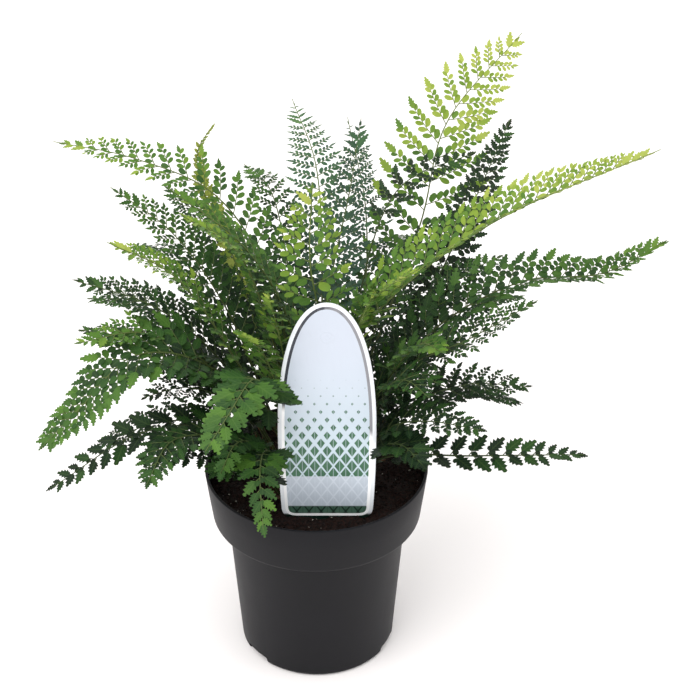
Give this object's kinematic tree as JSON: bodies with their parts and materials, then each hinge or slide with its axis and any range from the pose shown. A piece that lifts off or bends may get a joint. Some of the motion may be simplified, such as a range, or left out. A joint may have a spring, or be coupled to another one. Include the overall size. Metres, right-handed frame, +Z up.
{
  "type": "potted shield fern",
  "caption": "Shield fern with arching, finely divided fronds growing from a rootstock in a round dark nursery pot of soil, with a blank plant label.",
  "frame": {"origin": "middle of the pot's flat underside, on the surface it stands on", "axes": "+Z up along the pot's axis; -Y towards the front, where the plant label stands; +X to the right seen from the front"},
  "size_m": [0.3142, 0.2553, 0.3133],
  "materials": {
    "pot_plastic": "moulded, fine satin grain, charcoal",
    "potting_soil": "damp crumbly peat, nearly black",
    "rootstock": "brown papery scales",
    "label_plastic": "printed, semi-gloss, pale",
    "fern_leaf": "leathery leaf, dark green to lime, satin"
  },
  "bodies": {
    "root": {"pot": "pot_plastic", "soil": "potting_soil", "rootstock": "rootstock", "plant_label": "label_plastic", "frond_01": "fern_leaf", "frond_02": "fern_leaf", "frond_03": "fern_leaf", "frond_04": "fern_leaf", "frond_05": "fern_leaf", "frond_06": "fern_leaf", "frond_07": "fern_leaf", "frond_08": "fern_leaf", "frond_09": "fern_leaf", "frond_10": "fern_leaf", "frond_11": "fern_leaf", "frond_12": "fern_leaf", "frond_13": "fern_leaf", "frond_14": "fern_leaf", "frond_15": "fern_leaf", "frond_16": "fern_leaf", "frond_17": "fern_leaf", "frond_18": "fern_leaf", "frond_19": "fern_leaf", "frond_20": "fern_leaf", "frond_21": "fern_leaf", "frond_22": "fern_leaf", "frond_23": "fern_leaf", "frond_24": "fern_leaf", "frond_25": "fern_leaf", "frond_26": "fern_leaf", "frond_27": "fern_leaf", "frond_28": "fern_leaf", "frond_29": "fern_leaf", "frond_30": "fern_leaf", "frond_31": "fern_leaf", "frond_32": "fern_leaf", "frond_33": "fern_leaf", "frond_34": "fern_leaf", "frond_35": "fern_leaf", "frond_36": "fern_leaf", "frond_37": "fern_leaf", "frond_38": "fern_leaf", "frond_39": "fern_leaf", "frond_40": "fern_leaf", "frond_41": "fern_leaf", "frond_42": "fern_leaf", "frond_43": "fern_leaf", "frond_44": "fern_leaf", "frond_45": "fern_leaf", "frond_46": "fern_leaf", "frond_47": "fern_leaf", "frond_48": "fern_leaf", "frond_49": "fern_leaf", "frond_50": "fern_leaf", "frond_51": "fern_leaf", "frond_52": "fern_leaf", "frond_53": "fern_leaf", "frond_54": "fern_leaf", "frond_55": "fern_leaf", "frond_56": "fern_leaf"}
  },
  "joints": []
}
